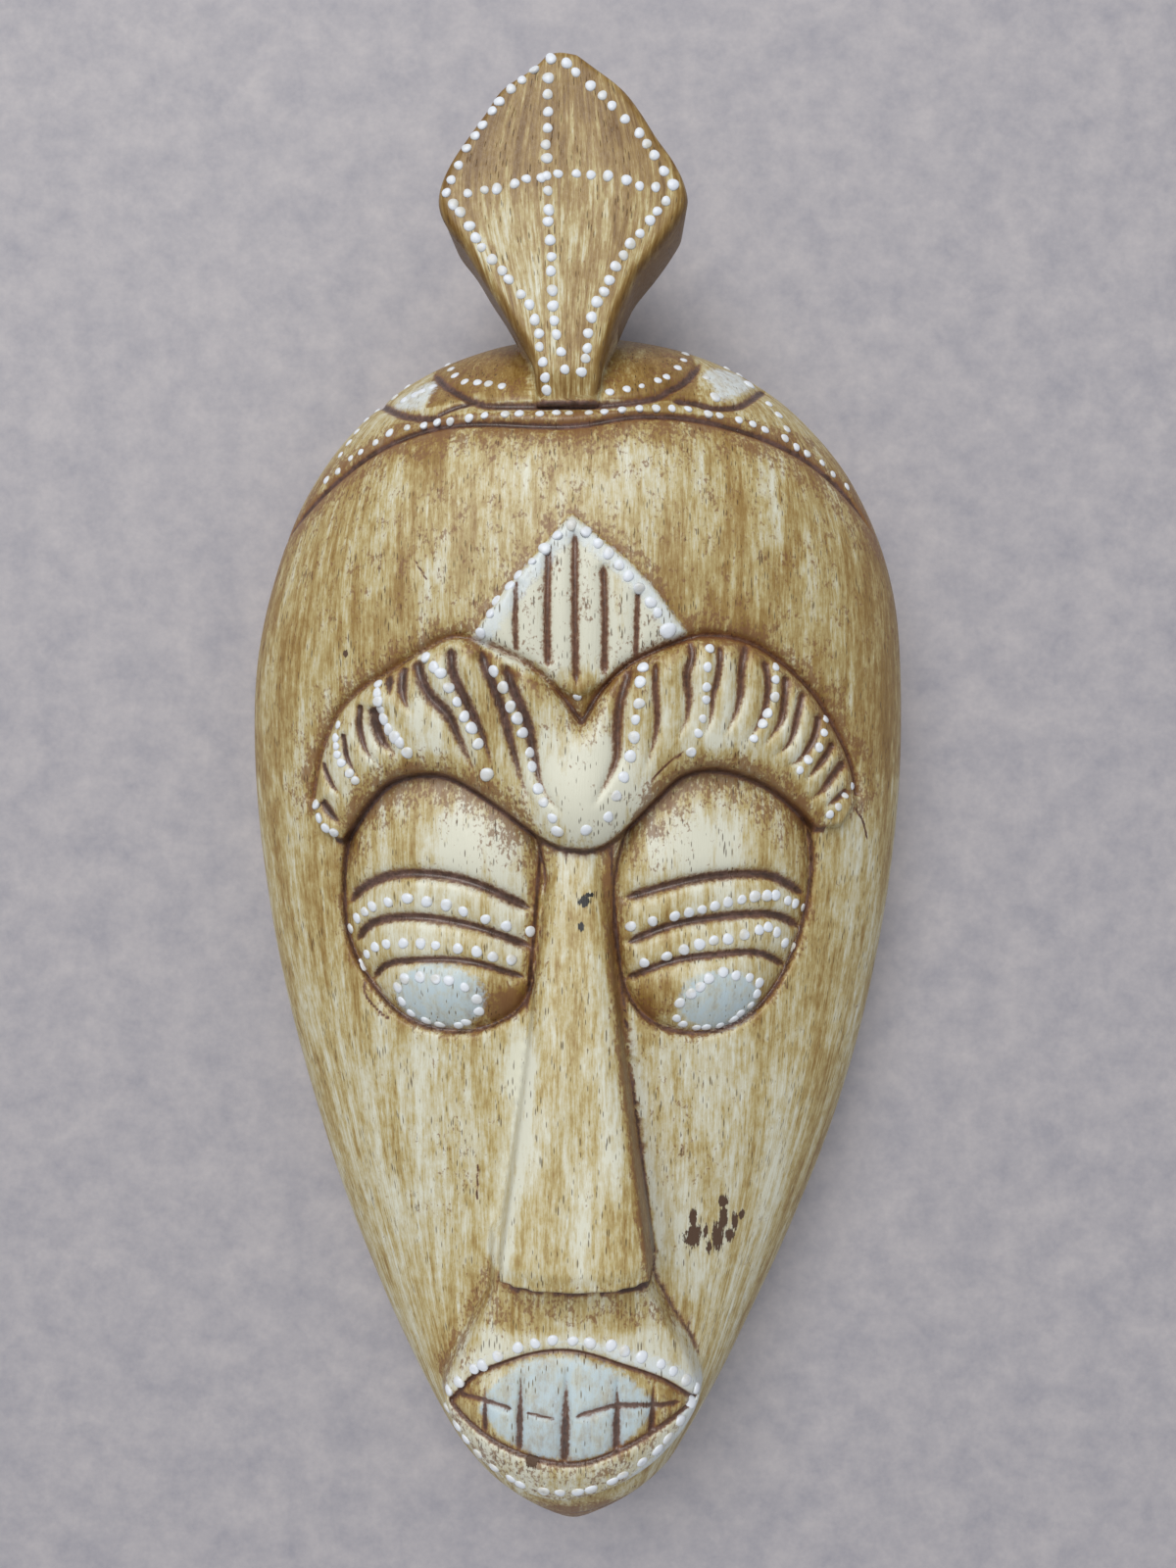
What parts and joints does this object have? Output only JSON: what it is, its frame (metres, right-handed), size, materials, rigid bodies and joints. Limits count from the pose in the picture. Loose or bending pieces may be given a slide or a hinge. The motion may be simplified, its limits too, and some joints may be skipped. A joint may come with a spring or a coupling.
{
  "type": "carved wooden wall mask",
  "caption": "Long carved wooden mask with a spade-shaped crest, fluted brow, closed eyes, wedge nose and bared teeth, hollowed at the back.",
  "frame": {"origin": "middle of the back, on the surface that the mask lies on", "axes": "+X to the viewer's right, +Y from the chin towards the crest, +Z out of the face"},
  "size_m": [0.1439, 0.304, 0.0604],
  "materials": {
    "painted_wood": "cream paint with brown antiquing glaze, satin"
  },
  "bodies": {
    "root": {"mask": "painted_wood"}
  },
  "joints": []
}
